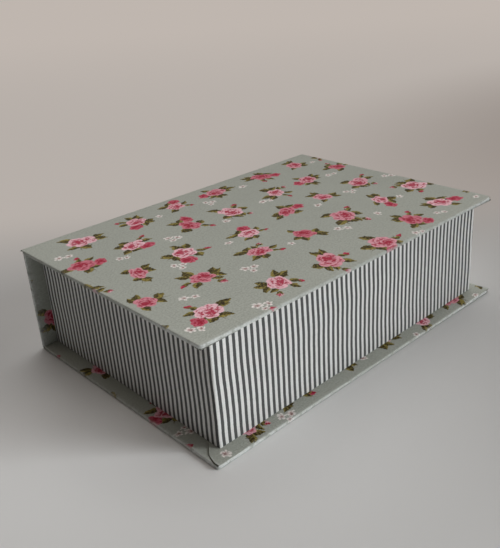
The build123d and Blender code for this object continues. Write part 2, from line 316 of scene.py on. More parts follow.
def tucked_corner(surface, x, y, inner_z, outwards, flat_y, side):
    """The front turn-in's end, laid over the side turn-in at a corner. A grid between the seam and a line
    further along the front: it stands one cloth above the turn-in at the seam and sinks into it. The seam is
    open near the corner's tip and nearly closed further in. Shade is painted into the open seam and a
    highlight on the flap's edge beside it, both fading where the seam closes."""
    grid_width, lap, tip = 30 * MM, 2.4 * MM, 0.9 * MM
    gap_width, gap_to, gap_fade = 0.75 * MM, 9 * MM, 1.6 * MM
    stand, sunk, tip_drop = 0.45 * MM, 0.02 * MM, 0.25 * MM
    from_front = SEAM_DEEP[-1] * spread(0.02, 1, 16)[:, None]
    seam = np.interp(from_front, SEAM_DEEP, SEAM_ALONG)
    part = np.concatenate([[0, 0, 0, 0.02], spread(0.06, 1, 8)])
    open_part = 0.35 + 0.65 / (1 + np.exp((from_front - gap_to) / gap_fade))
    gap = np.array([1.0, 1 / 3] + [0.0] * 10) * gap_width * open_part
    along = np.maximum(seam + part * (grid_width - seam) - gap, 0.1 * MM)
    lift = np.where(gap > 0, 1.5 * sunk, stand * (1 - part) ** 1.5 + sunk)
    lift = lift - tip_drop * close_to(from_front, tip)
    plan_x = (x[0] if side < 0 else x[1]) - side * along
    # painted shade in the open seam (below 0) and a painted highlight on the flap's edge beside it (above 0)
    shade = np.array([0.0, -1.0, -0.7, 0.5, 0.1] + [0.0] * 7) * open_part
    cut_y = flat_y(y[0] - from_front - lap)
    surface.grid(plan_x, y[0] + from_front, inner_z + outwards * lift, plan_x, cut_y, shade)


def folded_strip(surface, x, outside, inside, cut_along, end, columns=69):
    """Joint of cloth: a closed section, out along its outer face and back along its lining, carried along X.
    outside and inside are (y, z) points, and cut_along is each outer point's place on the cut cloth. The last
    stretch at either end isn't lined."""
    across = spread(x[0], x[1], columns)
    inner_along = np.interp(spread(0, 1, len(inside)), spread(0, 1, len(cut_along)), cut_along)
    lined = (across >= x[0] + end) & (across <= x[1] - end)
    first, last = np.flatnonzero(lined)[[0, -1]]
    for section, slot, flat, along in (
        (outside, 0, cut_along, across),
        (inside, 1, inner_along, across[lined]),
        (inside, 0, inner_along, across[: first + 1]),
        (inside, 0, inner_along, across[last:]),
        (np.stack([outside[0], inside[0]]), 0, cut_along[[0, 0]], across),
        (np.stack([outside[-1], inside[-1]]), 0, cut_along[[-1, -1]], across),
    ):
        surface.grid(along, section[:, :1], section[:, 1:], along, flat[:, None], slot=slot)
    both_y, both_z = np.stack([outside, inside]).transpose(2, 0, 1)
    for side in x:
        surface.grid(side, both_y, both_z, side, np.stack([cut_along, inner_along]))


def carried_along_x(surface, x, section, columns):
    """A section of (y, z) points carried along X."""
    across = spread(x[0], x[1], columns)
    surface.grid(across, section[:, :1], section[:, 1:], across, run_along(*section.T)[:, None])


def rounded_outline(x, y, corner, inset, sides, corners=4):
    """Closed rectangle with rounded corners, moved inwards by each inset: arrays of shape (insets, points)
    for x and y, and the outer path's length up to its last corner. It runs down the right side first and then
    round, and each side is followed by its corner."""
    turn = np.maximum(inset, corner)[:, None]
    bend = turn - inset[:, None]
    low_x, high_x, low_y, high_y = x[0] + turn, x[1] - turn, y[0] + turn, y[1] - turn
    centres = ((high_x, low_y), (low_x, low_y), (low_x, high_y), (high_x, high_y))
    part = spread(0, 1, sides)
    round_way = spread(0, math.pi / 2, corners + 2)[1:-1]
    xs, ys = [], []
    for k, centre in enumerate(centres):
        facing = -k * math.pi / 2
        for values, start, stop, wave in zip((xs, ys), centres[k - 1], centre, (np.cos, np.sin)):
            values.append(start + part * (stop - start) + bend * wave(facing))
            values.append(stop + bend * wave(facing - round_way))
    xs, ys = np.concatenate(xs, 1), np.concatenate(ys, 1)
    outer = np.argmin(inset)
    path = run_along(xs[outer], ys[outer])
    return np.hstack([xs, xs[:, :1]]), np.hstack([ys, ys[:, :1]]), path


def covered_card(surface, low, high, axes, radius, sides=26):
    """Card wrapped in cloth: a slab whose edges are rounded. axes names the slab's long, broad and thin
    directions, as indices. Its outline is carried over the edge from one face to the other."""
    long, broad, thin = ((low[a], high[a]) for a in axes)
    thick, border = thin[1] - thin[0], 2.5 * radius

    def lay(across, down, level, cut_down, wear_and_painted_light=0.0):
        places = dict(zip(axes, (across, down, level)))
        surface.grid(places[0], places[1], places[2], across, cut_down, wear_and_painted_light)

    away, along = quarter_turn(radius, 3)
    inset = np.concatenate([[border, radius], radius - away, along, [border]])
    depth = np.concatenate([[0, 0], along, thick - radius + away, [thick]])[:, None]
    xs, ys, _ = rounded_outline(long, broad, radius, inset, sides)
    lay(xs, ys, thin[0] + depth, ys + depth, 0.5 * np.exp(-((depth - thick / 2) / (0.5 * MM)) ** 2))
    across = spread(long[0] + border, long[1] - border, sides)
    down = spread(broad[0] + border, broad[1] - border, sides)[:, None]
    for face in thin:
        lay(across, down, face, down)


def cloth_over_top(surface, low, high, axis, radius, columns=24):
    """Cloth folded over the top of an upright board: an upside-down U, rounded at the top, carried along the
    given axis."""
    side = 1 - axis
    middle, half = (low[side] + high[side]) / 2, (high[side] - low[side]) / 2
    away, along = quarter_turn(radius, 3)
    up = np.concatenate([spread(low[2], high[2] - radius, 6), high[2] - radius + away])
    out = np.concatenate([np.full(6, half), half - along])
    across, height = np.concatenate([-out, out[::-1]]), np.concatenate([up, up[::-1]])
    run = spread(low[axis], high[axis], columns)
    places = (run, middle + across[:, None])
    wear_and_painted_light = 0.6 * close_to(high[2] - height, 1.5 * MM)
    reach = run_along(across, height)[:, None]
    surface.grid(places[axis], places[side], height[:, None], run, reach, wear_and_painted_light[:, None])


# Shader groups


def arithmetic(operation, swapped=False):
    """A method that puts a math node between a flow and another value."""

    def method(self, *others):
        values = (self, *others)
        return self.wiring.math(operation, *(values[::-1] if swapped else values))

    return method


class Flow:
    """A number, vector or colour on its way from one shader node to others. Arithmetic with it and comparison
    place nodes, so that a formula in Python is a formula of the shader."""

    def __init__(self, wiring, socket):
        self.wiring, self.socket = wiring, socket

    __add__ = __radd__ = arithmetic("ADD")
    __sub__ = arithmetic("SUBTRACT")
    __rsub__ = arithmetic("SUBTRACT", swapped=True)
    __mul__ = __rmul__ = arithmetic("MULTIPLY")
    __truediv__ = arithmetic("DIVIDE")
    __pow__ = arithmetic("POWER")
    __abs__ = arithmetic("ABSOLUTE")
    __gt__ = arithmetic("GREATER_THAN")
    __lt__ = arithmetic("LESS_THAN")


class Placed:
    """A placed node, whose outputs are flows, by name or by number."""

    def __init__(self, wiring, node):
        self.wiring, self.node = wiring, node

    def __getitem__(self, key):
        return Flow(self.wiring, self.node.outputs[key])


class Wiring:
    """Places shader nodes in one tree and joins them."""

    def __init__(self, tree):
        self.tree = tree

    def put(self, kind, choices=(), **inputs):
        """A node, its settings, and its inputs by name or, after an underscore, by number."""
        node = self.tree.nodes.new(kind)
        for name, value in dict(choices).items():
            setattr(node, name, value)
        for name, value in inputs.items():
            key = int(name[1:]) if name[0] == "_" else name.replace("_", " ")
            self.join(value, node.inputs[key])
        return Placed(self, node)

    def join(self, value, socket):
        """Links a flow to a socket, or sets a constant there. A colour gets its alpha, and a number fills all
        three parts of a vector."""
        if isinstance(value, Flow):
            self.tree.links.new(value.socket, socket)
        elif socket.type == "RGBA":
            socket.default_value = (*value, 1)
        elif socket.type == "VECTOR" and isinstance(value, (int, float)):
            socket.default_value = (value,) * 3
        else:
            socket.default_value = value

    def math(self, operation, *values, clamp=False):
        """A math node, or a vector math node where a value is a vector or a colour."""
        inputs = {f"_{k}": value for k, value in enumerate(values)}
        if any(isinstance(v, tuple) or isinstance(v, Flow) and v.socket.type != "VALUE" for v in values):
            node = self.put("ShaderNodeVectorMath", {"operation": operation}, **inputs)
            return node["Value" if operation in ("LENGTH", "DISTANCE", "DOT_PRODUCT") else "Vector"]
        return self.put("ShaderNodeMath", {"operation": operation, "use_clamp": clamp}, **inputs)[0]

    def split(self, vector):
        """x, y and z of a vector."""
        return self.put("ShaderNodeSeparateXYZ", Vector=vector)

    def joined(self, x, y, z=0.0):
        """A vector from its parts."""
        return self.put("ShaderNodeCombineXYZ", X=x, Y=y, Z=z)[0]

    def turned(self, vector, turn):
        """A vector turned about Z."""
        return self.put("ShaderNodeVectorRotate", {"rotation_type": "Z_AXIS"}, Vector=vector, Angle=turn)[0]

    def ramp(self, value, start, stop, low=0.0, high=1.0):
        """low up to start, high after stop, and a smooth step between."""
        ends = {"From_Min": start, "From_Max": stop, "To_Min": low, "To_Max": high}
        return self.put("ShaderNodeMapRange", {"interpolation_type": "SMOOTHSTEP"}, Value=value, **ends)[0]

    def mix(self, factor, first, second):
        """The first colour where the factor is 0, and the second where it is 1."""
        return self.put("ShaderNodeMix", {"data_type": "RGBA"}, _0=factor, _6=first, _7=second)[2]

    def noise(self, vector, scale, detail=2.0, roughness=0.5):
        """A noise texture: Fac is one number, and Color is three."""
        return self.put("ShaderNodeTexNoise", Vector=vector, Scale=scale, Detail=detail, Roughness=roughness)

    def chance(self, x, y, salt):
        """Three random numbers of one cell, as the parts of a colour."""
        node = self.put("ShaderNodeTexWhiteNoise", {"noise_dimensions": "3D"}, Vector=self.joined(x, y, salt))
        return self.put("ShaderNodeSeparateColor", Color=node["Color"])

    def group(self, tree, **inputs):
        """A node group used as one node."""
        return self.put("ShaderNodeGroup", {"node_tree": tree}, **inputs)


SOCKETS = {"Point": "NodeSocketVector", "Cut": "NodeSocketVector", "Colour": "NodeSocketColor"}


def shader_group(name, inputs, outputs):
    """(wiring, inputs, function that sets the outputs and hands back the group) of a new node group. Sockets
    that SOCKETS doesn't name are plain numbers."""
    tree = bpy.data.node_groups.new(name, "ShaderNodeTree")
    for direction, labels in (("INPUT", inputs), ("OUTPUT", outputs)):
        for label in labels:
            kind = SOCKETS.get(label, "NodeSocketFloat")
            tree.interface.new_socket(label, in_out=direction, socket_type=kind)
    w = Wiring(tree)

    def give(**values):
        w.put("NodeGroupOutput", **values)
        return tree

    return w, w.put("NodeGroupInput"), give


def leaf_group():
    """A pointed, toothed leaf that runs from the point's origin in a direction. Half its width follows the
    sine of a power of the way along it."""
    w, given, give = shader_group(
        "Printed Leaf", ("Point", "Direction", "Length", "Width"), ("Mask", "Along", "Across")
    )
    x, y, _ = w.split(w.turned(given["Point"], given["Direction"] * -1.0))
    along = w.math("DIVIDE", x, given["Length"], clamp=True)
    swell = w.math("SINE", along ** 0.7 * math.pi)
    teeth = 1.06 - w.math("FRACT", along * 6.0) * 0.16
    half = swell * teeth * given["Width"]
    return give(Mask=w.ramp(half - abs(y), 0.0, 0.35), Along=along, Across=y / w.math("MAXIMUM", half, 0.05))


def petals_group():
    """A round of petals: its edge dips where two petals meet. Sweep runs from 0 to 1 across each petal."""
    w, given, give = shader_group(
        "Printed Petals", ("Point", "Radius", "Lobes", "Turn", "Depth"), ("Mask", "Ratio", "Sweep")
    )
    x, y, _ = w.split(given["Point"])
    turns = w.math("ARCTAN2", y, x) * (0.5 / math.pi)
    sweep = w.math("FRACT", turns * given["Lobes"] + given["Turn"])
    joint = abs(sweep * 2.0 - 1.0) ** 2.6
    edge = (1.0 - joint * given["Depth"]) * given["Radius"]
    distance = w.math("LENGTH", given["Point"])
    ratio = distance / w.math("MAXIMUM", edge, 0.1)
    return give(Mask=w.ramp(edge - distance, 0.0, 0.45), Ratio=ratio, Sweep=sweep)


def rose_group(petals, colours):
    """A full rose seen a little from the side: rounds of petals laid one over another towards an off-centre
    heart. A petal is dark where the next round covers it and where its neighbour overlaps it, and pale at its
    rim. Grain, a noise from 0 to 1, breaks the tones up like brush marks."""
    w, given, give = shader_group(
        "Printed Rose", ("Point", "Radius", "Turn", "Tone", "Grain"), ("Mask", "Colour")
    )
    radius, tone = given["Radius"], given["Tone"]
    deep = w.mix(tone * 0.5 + 0.5, colours.rose_mid, colours.rose_deep)
    pale = w.mix(tone, colours.rose_pale, colours.rose_mid)
    turned = w.turned(given["Point"], given["Turn"])
    brush = given["Grain"] * 0.56 - 0.28
    picture, outer = None, None
    for share, offset_x, offset_y, lobes, turn, dark in (
        (1.00, 0.00, 0.00, 5.0, 0.1, -0.05),
        (0.80, 0.08, -0.12, 4.0, 0.6, 0.0),
        (0.60, -0.06, -0.20, 3.0, 0.3, 0.25),
        (0.42, 0.08, -0.25, 3.0, 0.8, 0.6),
        (0.24, -0.03, -0.24, 2.0, 0.5, 1.0),
    ):
        point = turned - w.joined(radius * offset_x, radius * offset_y)
        lobed = w.group(petals, Point=point, Radius=radius * share, Lobes=lobes, Turn=turn, Depth=0.22)
        lit = w.ramp(lobed["Ratio"], 0.62, 1.02) * 0.60 + lobed["Sweep"] ** 0.7 * 0.72
        shade = w.mix(w.ramp(lit + brush - dark * 0.45, 0.25, 0.86), deep, pale)
        if outer is None:
            picture, outer = shade, lobed["Mask"]
        else:
            picture = w.mix(lobed["Mask"], picture, shade)
    return give(Mask=outer, Colour=picture)


def print_group(colours, layout):
    """The flowered print on cut cloth, in millimetres. The cloth is a half-drop lattice of cells. Each cell
    draws one sprig, shifted, turned and mirrored by its own random numbers: stems, leaves, buds, and one or
    two roses. A second lattice between the sprigs holds up to three small white flowers. Slow and fine noise
    move every point a little, so that no outline is regular."""
    leaf, petals = leaf_group(), petals_group()
    rose = rose_group(petals, colours)
    w, given, give = shader_group("Rose Sprig Print", ("Cut",), ("Colour",))
    wide, tall = layout.sprig_spacing_x, layout.sprig_spacing_y
    place = given["Cut"]
    for scale, detail, reach in ((0.8, 2.0, 1.7), (0.17, 1.0, 3.6), (0.013, 0.0, 26.0)):
        place = place + (w.noise(given["Cut"], scale, detail, 0.6)["Color"] - 0.5) * reach
    cut_x, cut_y, _ = w.split(place)
    grain = w.ramp(w.noise(given["Cut"], 0.55, 2.0, 0.65)["Fac"], 0.28, 0.72)

    def cell(offset_x, offset_y, salt, jitter):
        """(place in the cell, its three random numbers, its column and row)."""
        down = cut_y + offset_y
        row = w.math("FLOOR", down / tall)
        across = cut_x + offset_x + w.math("MODULO", abs(row), 2.0) * (wide / 2)
        column = w.math("FLOOR", across / wide)
        shake = w.chance(column, row, salt)
        x = across - (column + 0.5) * wide + (shake[0] * 2.0 - 1.0) * jitter
        y = down - (row + 0.5) * tall + (shake[1] * 2.0 - 1.0) * jitter
        return x, y, shake, column, row

    def stamp_flower(picture, point, radius, turn, show):
        """A small white flower of five petals with a brown heart."""
        shape = w.group(petals, Point=point, Radius=radius, Lobes=5.0, Turn=turn, Depth=0.55)
        shade = w.mix(w.ramp(shape["Sweep"], 0.0, 0.35), (0.52, 0.40, 0.40), colours.blossom)
        shade = w.mix(w.ramp(shape["Ratio"], 0.2, 0.62), (0.42, 0.24, 0.24), shade)
        shade = w.mix(w.ramp(shape["Ratio"], 0.13, 0.26, 0.9, 0.0), shade, (0.16, 0.07, 0.05))
        return w.mix(shape["Mask"] * show * (grain * 0.3 + 0.65), picture, shade)

    def stamp_leaf(picture, joint, direction, size, width, show, first, second):
        """A leaf over what is there: one half darker, with a dark rib and side veins."""
        point = sprig - (*joint, 0.0)
        shape = w.group(leaf, Point=point, Direction=direction, Length=size, Width=width)
        across = abs(shape["Across"])
        veins = w.math("SINE", shape["Along"] * 26.0 - across * 3.4) * 0.2
        half = w.ramp(shape["Across"], -0.35, 0.55) * 0.62
        tone = w.math("ADD", half + veins, grain * 0.6 - 0.20, clamp=True)
        shade = w.mix(w.ramp(across, 0.04, 0.2, 0.7, 0.0), w.mix(tone, first, second), first)
        return w.mix(shape["Mask"] * show, picture, shade)

    picture = colours.ground
    # small white flowers between the sprigs
    x, y, _, column, row = cell(wide / 2, -0.26 * tall, 7.0, 4.5)
    count = w.chance(column, row, 8.0)
    for dx, dy, radius, least in ((0.0, 0.0, 3.6, 0.28), (5.6, 2.8, 3.1, 0.58), (1.2, 6.2, 2.8, 0.80)):
        point = w.joined(x - dx, y - dy)
        picture = stamp_flower(picture, point, radius, count[1] * 2.0 + dx, count[0] > least)
    # sprigs
    x, y, shake, column, row = cell(0.0, 0.0, 1.0, 2.4)
    kind, more = w.chance(column, row, 2.0), w.chance(column, row, 3.0)
    mirrored = x * ((kind[2] > 0.5) * 2.0 - 1.0)
    sprig = w.turned(w.joined(mirrored, y), shake[2] * (2 * math.pi))
    sway = more[0] * 0.6 - 0.3
    has_second, has_bud, has_crown = more[2] > 0.55, more[1] > 0.40, more[1] < 0.75
    has_branch = w.math("MAXIMUM", has_second, has_bud)
    stem = (0.10, 0.075, 0.025)
    for joint, heading, size, width, show in (
        ((0.0, -5.0), -1.72, 13.5, 0.6, 1.0),
        ((3.0, -2.0), -0.42, 11.5, 0.55, has_branch),
        ((1.5, 7.0), 1.15, 7.5, 0.45, has_bud),
        ((-6.0, 3.0), 2.75, 10.0, 0.5, has_crown),
    ):
        picture = stamp_leaf(picture, joint, sway + heading, size, width, show, stem, stem)
    for joint, heading, size, width, show in (
        ((-0.8, -7.4), -2.60, 10.8, 3.6, 1.0),
        ((-0.6, -8.0), -0.78, 9.8, 3.2, 1.0),
        ((-1.0, -9.3), -1.95, 8.6, 2.8, has_crown),
        ((-5.0, 5.4), 2.05, 9.8, 3.4, has_crown),
        ((-6.0, 3.4), 2.85, 11.0, 3.6, 1.0),
        ((-6.6, 1.0), -2.75, 8.2, 2.7, has_second),
        ((5.0, 5.0), 0.62, 9.6, 3.2, 1.0),
        ((6.4, -3.8), -1.45, 7.8, 2.6, has_branch),
        ((2.4, 7.6), 1.62, 7.2, 2.2, has_bud),
    ):
        bend = more[0] * (0.9 * math.sin(7 * heading)) + heading
        picture = stamp_leaf(picture, joint, bend, size, width, show, colours.leaf_dark, colours.leaf_light)
    for joint, heading, size, width, first, second in (
        ((11.6, -5.6), -0.42, 6.2, 2.7, colours.rose_deep, colours.rose_pale),
        ((10.8, -5.2), -0.95, 4.8, 1.3, colours.leaf_dark, colours.leaf_light),
        ((10.8, -5.2), 0.10, 4.8, 1.3, colours.leaf_dark, colours.leaf_light),
        ((4.2, 12.2), 1.15, 5.2, 2.3, colours.rose_deep, colours.rose_mid),
        ((3.8, 11.6), 0.70, 3.8, 1.1, colours.leaf_dark, colours.leaf_light),
    ):
        picture = stamp_leaf(picture, joint, sway + heading, size, width, has_bud, first, second)
    point = sprig - (11.2, -6.0, 0.0)
    small = w.group(rose, Point=point, Radius=6.0, Turn=kind[1] * 6.0, Tone=0.9, Grain=grain)
    picture = w.mix(small["Mask"] * has_second, picture, small["Colour"])
    radius, tone = kind[0] * 1.6 + 8.2, w.ramp(kind[1], 0.15, 0.95, 0.0, 0.75)
    full = w.group(rose, Point=sprig, Radius=radius, Turn=kind[0] * 9.0, Tone=tone, Grain=grain)
    return give(Colour=w.mix(full["Mask"], picture, full["Colour"]))


def stripe_group(colours, layout):
    """Upright stripes across the cut cloth: the place across, shaken a little by slow noise so that the lines
    wander, folded into one pitch and cut in half with soft edges."""
    w, given, give = shader_group("Woven Stripes", ("Cut",), ("Colour",))
    x, _, _ = w.split(given["Cut"])
    wander = w.noise(given["Cut"] * (0.006, 0.028, 0.0), 1.0, 1.0, 0.4)["Fac"]
    ragged = w.noise(given["Cut"] * (1.1, 0.35, 0.0), 1.0, 2.0, 0.6)["Fac"]
    shift = (wander - 0.5) * 2.8 + (ragged - 0.5) * 0.34
    place = w.math("FRACT", (x + shift) / layout.stripe_pitch)
    white = w.ramp(abs(place - 0.5), 0.225, 0.275)
    return give(Colour=w.mix(white, colours.stripe_grey, colours.stripe_white))


def weave_group(layout):
    """Plain weave: warp and weft threads as half waves across the cut cloth, one over the other in turn, with
    thicker and thinner threads from stretched noise."""
    w, given, give = shader_group("Plain Weave", ("Cut",), ("Height", "Thread"))
    bent = given["Cut"] + w.noise(given["Cut"], 0.11, 1.0)["Color"] * 0.9
    x, y, _ = w.split(bent)
    step = math.pi / layout.thread_pitch
    warp, weft = w.math("SINE", x * step), w.math("SINE", y * step)
    height = warp * weft * 0.5 + (abs(warp) + abs(weft)) * 0.35
    slubs = [w.noise(bent * stretch, 1.0, 1.0)["Fac"] for stretch in ((2.2, 0.09, 0.0), (0.09, 2.2, 0.0))]
    thread = (slubs[0] + slubs[1]) * 0.5
    return give(Height=thread * 1.2 + height, Thread=thread)


def wear_and_painted_light_group():
    """Cloth in use: flecks and threads that differ in tone, soft patches, edges made paler and greyer by wear
    and by a painted highlight, and painted shade in an open seam."""
    w, given, give = shader_group(
        "Cloth Wear", ("Cut", "Colour", "Thread", "Rub", "Fleck"), ("Colour", "Roughness")
    )
    _, _, edge = w.split(given["Cut"])
    flat = given["Cut"] * (1.0, 1.0, 0.0)
    patch = w.noise(flat, 0.018, 3.0, 0.55)["Fac"]
    speck = w.noise(flat, 0.75, 3.0, 0.75)["Fac"]
    tone = given["Thread"] * 0.30 + 0.85 + (patch - 0.5) * 0.14 + (speck - 0.5) * given["Fleck"]
    # painted shade: near black where z is below 0, in an open seam
    toned = w.mix(w.ramp(edge, -0.8, -0.1, 0.82, 0.0), given["Colour"] * tone, (0.015, 0.013, 0.010))
    broken = w.ramp(w.noise(flat, 0.16, 2.0, 0.6)["Fac"], 0.34, 0.54, 0.35, 1.0)
    # edges paler and greyer: wear, and a painted highlight; the Rub input sets how strong it is
    edge_wear_and_highlight = w.ramp(edge, 0.0, 1.0) * w.ramp(speck, 0.25, 0.6, 0.55, 1.0) * broken * given["Rub"]
    return give(Colour=w.mix(edge_wear_and_highlight, toned, (0.72, 0.75, 0.74)), Roughness=0.9 - edge_wear_and_highlight * 0.08)


# Materials


def new_material(name):
    """(material, wiring of its empty tree)."""
    material = bpy.data.materials.new(name)
    material.use_nodes = True
    material.node_tree.nodes.clear()
    return material, Wiring(material.node_tree)


def cloth_material(name, pattern, rub, fleck=0.4, fuzz=0.12):
    """Matt cotton: a printed group or a plain colour, flecked thread by thread, with the weave as bump, wear
    and a painted highlight at its edges, and painted shade in open seams."""
    material, w = new_material(name)
    groups = bpy.data.node_groups
    cut = w.put("ShaderNodeAttribute", {"attribute_name": CUT})["Vector"]
    weave = w.group(groups["Plain Weave"], Cut=cut)
    base = w.group(groups[pattern], Cut=cut)["Colour"] if isinstance(pattern, str) else pattern
    wear_and_painted_light = w.group(groups["Cloth Wear"], Cut=cut, Colour=base, Thread=weave["Thread"], Rub=rub, Fleck=fleck)
    puff = w.noise(cut * (1.0, 1.0, 0.0), 0.05, 2.0)["Fac"]
    height = weave["Height"] + puff * 6.0
    bumped = w.put("ShaderNodeBump", Strength=0.35, Distance=0.06 * MM, Height=height)[0]
    shader = w.put(
        "ShaderNodeBsdfPrincipled", Base_Color=wear_and_painted_light["Colour"], Roughness=wear_and_painted_light["Roughness"], Normal=bumped,
        Specular_IOR_Level=1.8 * fuzz, Sheen_Weight=fuzz, Sheen_Roughness=0.6,
    )
    w.put("ShaderNodeOutputMaterial", Surface=shader[0])
    return material


def board_material(colours):
    """Grey board of pressed waste paper: fine fibres and specks, and layers at its cut edges."""
    material, w = new_material("Grey Board")
    place = w.put("ShaderNodeTexCoord")["Object"]
    fibre = w.noise(place * (900.0, 900.0, 2600.0), 1.0, 4.0, 0.65)["Fac"]
    speck = w.noise(place, 2200.0, 2.0, 0.5)["Fac"]
    shade = (fibre * 0.5 + 0.75) * tuple(colours.board)
    shade = w.mix(w.ramp(speck, 0.66, 0.72, 0.0, 0.5), shade, (0.07, 0.065, 0.06))
    bumped = w.put("ShaderNodeBump", Strength=0.5, Distance=0.08 * MM, Height=fibre)[0]
    shader = w.put(
        "ShaderNodeBsdfPrincipled", Base_Color=shade, Roughness=0.92, Normal=bumped, Specular_IOR_Level=0.2
    )
    w.put("ShaderNodeOutputMaterial", Surface=shader[0])
    return material


def finish(name):
    """A material of this box, made the first time that it is asked for."""
    if name in bpy.data.materials:
        return bpy.data.materials[name]
    _, colours, layout, _ = settings()
    if "Plain Weave" not in bpy.data.node_groups:
        print_group(colours, layout)
        stripe_group(colours, layout)
        weave_group(layout)
        wear_and_painted_light_group()
    if name == "Flowered Cotton":
        return cloth_material(name, "Rose Sprig Print", rub=1.0, fleck=0.95, fuzz=0.04)
    if name == "Striped Cotton":
        return cloth_material(name, "Woven Stripes", rub=0.15, fleck=0.15)
    if name == "Lining Cotton":
        return cloth_material(name, colours.lining, rub=0.12)
    return board_material(colours)


# Pieces


def spans(node):
    """(x span, y span, z span) of a solid."""
    low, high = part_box(node)
    return tuple((low[a], high[a]) for a in range(3))


def hinge_line():
    """How far back the spine's outer face lies, where both joints fold."""
    return spans("spine_cloth")[1][1]


def cut_on_base(y):
    """Place along the cut cloth, which starts from 0 at the lower fold and runs on up the spine."""
    return y - hinge_line()


def cut_on_cover(y):
    """Place along the cut cloth past the upper fold, so that the print runs on over the cover."""
    top = spans("spine_cloth")[2][1]
    return top + hinge_line() - y


class SEWINGBOX_OT_flowered_cloth(Operator):
    """Wraps the cover, the spine and the base in flowered cloth, with both joints"""

    bl_idname = "sewing_box.flowered_cloth"
    bl_label = "Flowered Cloth"

    def execute(self, context):
        shapes = settings()[0]
        flowered, lining = finish("Flowered Cotton"), finish("Lining Cotton")
        for name, node, board, flat_y, body in (
            ("cover_flowered_cloth", "cover_cloth", "cover_board", cut_on_cover, "cover"),
            ("base_flowered_cloth", "base_cloth", "base_board", cut_on_base, "base"),
        ):
            x, y, z = spans(node)
            y = (y[0], spans(board)[1][1])
            z, outwards = (z, 1) if body == "base" else (z[::-1], -1)
            surface = Surface()
            corners = (shapes.corner_radius, shapes.far_corner_radius)
            wrapped_board(surface, x, y, z, corners, shapes.edge_radius, shapes.turn_in, flat_y)
            for side in (-1, 1):
                tucked_corner(surface, x, y, z[1], outwards, flat_y, side)
            piece = surface.piece(name, [flowered], thickness=shapes.cloth_thickness)
            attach(piece, body)
            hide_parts(node)
            edge = abs(z[1] - z[0]) + shapes.turn_in
            x[1] - x[0] + 2 * edge
            y[1] - y[0] + edge
        self.spine(shapes, flowered)
        self.joints(shapes, flowered, lining)
        return {"FINISHED"}

    def spine(self, shapes, flowered):
        """Cloth on the spine's outer face, carried round both ends on to the inner face: a section in plan,
        raised from one end of the board to the other, and closed over the board's two long edges."""
        x, y, _ = spans("spine_cloth")
        _, board_y, board_z = spans("spine_board")
        low, high = board_z[0] - OVER_BOARD, board_z[1] + OVER_BOARD
        inner, outer = board_y[0] - OVER_BOARD, y[1]
        deep, flat_from, inside = outer - inner, 8 * MM, 0.3 * MM
        radius, turn = shapes.edge_radius, shapes.turn_in
        away, along = quarter_turn(radius, 5)
        inset = np.concatenate([[turn, turn / 2, radius], radius - away, along[:-1], [radius, flat_from]])
        depth = np.concatenate([[0, 0, 0], along, deep - radius + away[:-1], [deep, deep]])
        face = spread(x[0] + flat_from, x[1] - flat_from, 60)[1:-1]
        plan_x = np.concatenate([x[0] + inset, face, (x[1] - inset)[::-1]])
        plan_y = inner + np.concatenate([depth, 0 * face + deep, depth[::-1]])
        reach = run_along(plan_x, plan_y)
        reach = reach - reach.mean() + (x[0] + x[1]) / 2
        wear_and_painted_light = close_to(np.minimum(plan_x - x[0], x[1] - plan_x), 1.5 * MM)
        up = spread(low, high, 24)[:, None]
        surface = Surface()
        surface.grid(plan_x, plan_y, up, reach, up, wear_and_painted_light)
        back = spread(inner + inside, outer - inside, 3)[:, None]
        for edge in (low, high):
            for end, sign in ((x[0], 1), (x[1], -1)):
                across = spread(end + sign * inside, end + sign * turn, 6)
                surface.grid(across, back, edge, across, back)
        piece = surface.piece("spine_flowered_cloth", [flowered], thickness=shapes.cloth_thickness)
        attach(piece, "spine")
        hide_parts("spine_cloth")
        width = x[1] - x[0] + 2 * (deep + turn)
        high - low

    def joints(self, shapes, flowered, lining):
        """The folds between the boards: flat from the case board's back edge, round a quarter circle, and up
        to where the spine's cloth starts. The lower one is worked out, and the upper one mirrors it."""
        _, y, z = spans("spine_cloth")
        start = spans("base_board")[1][1]
        spine_low = spans("spine_board")[2][0] - OVER_BOARD
        radius, thick = shapes.fold_radius, shapes.fold_thickness
        turn = spread(0, math.pi / 2, 9)
        arc = np.stack([np.sin(turn), -np.cos(turn)], -1)
        centre = np.array([y[1] - radius, radius])
        outside = np.concatenate([[[start, 0]], centre + radius * arc, [[y[1], spine_low]]])
        inner_ends = [start + 0.36 * MM, thick], [y[1] - thick, spine_low - 0.02 * MM]
        inside = np.concatenate([inner_ends[:1], centre + (radius - thick) * arc, inner_ends[1:]])
        along = run_along(*outside.T)
        first = cut_on_base(start)
        for name, a, b, upper in (
            ("lower_joint_cloth", "base", "spine", False),
            ("upper_joint_cloth", "cover", "spine", True),
        ):
            x = spans("cover_cloth" if upper else "base_cloth")[0]
            x = (x[0] + 0.4 * MM, x[1] - 0.4 * MM)
            flat = z[1] - first - along if upper else first + along
            from_z, sign = (z[1], -1) if upper else (0.0, 1)
            sections = [points * (1, sign) + (0.0, from_z) for points in (outside, inside)]
            surface = Surface()
            folded_strip(surface, x, *sections, flat, shapes.turn_in)
            piece = surface.piece(name, [flowered, lining])
            start_of_bend = [0.0, y[1] - radius - 0.05 * MM, from_z]
            end_of_bend = [0.0, y[1], from_z + sign * (radius - 0.1 * MM)]
            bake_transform(piece)


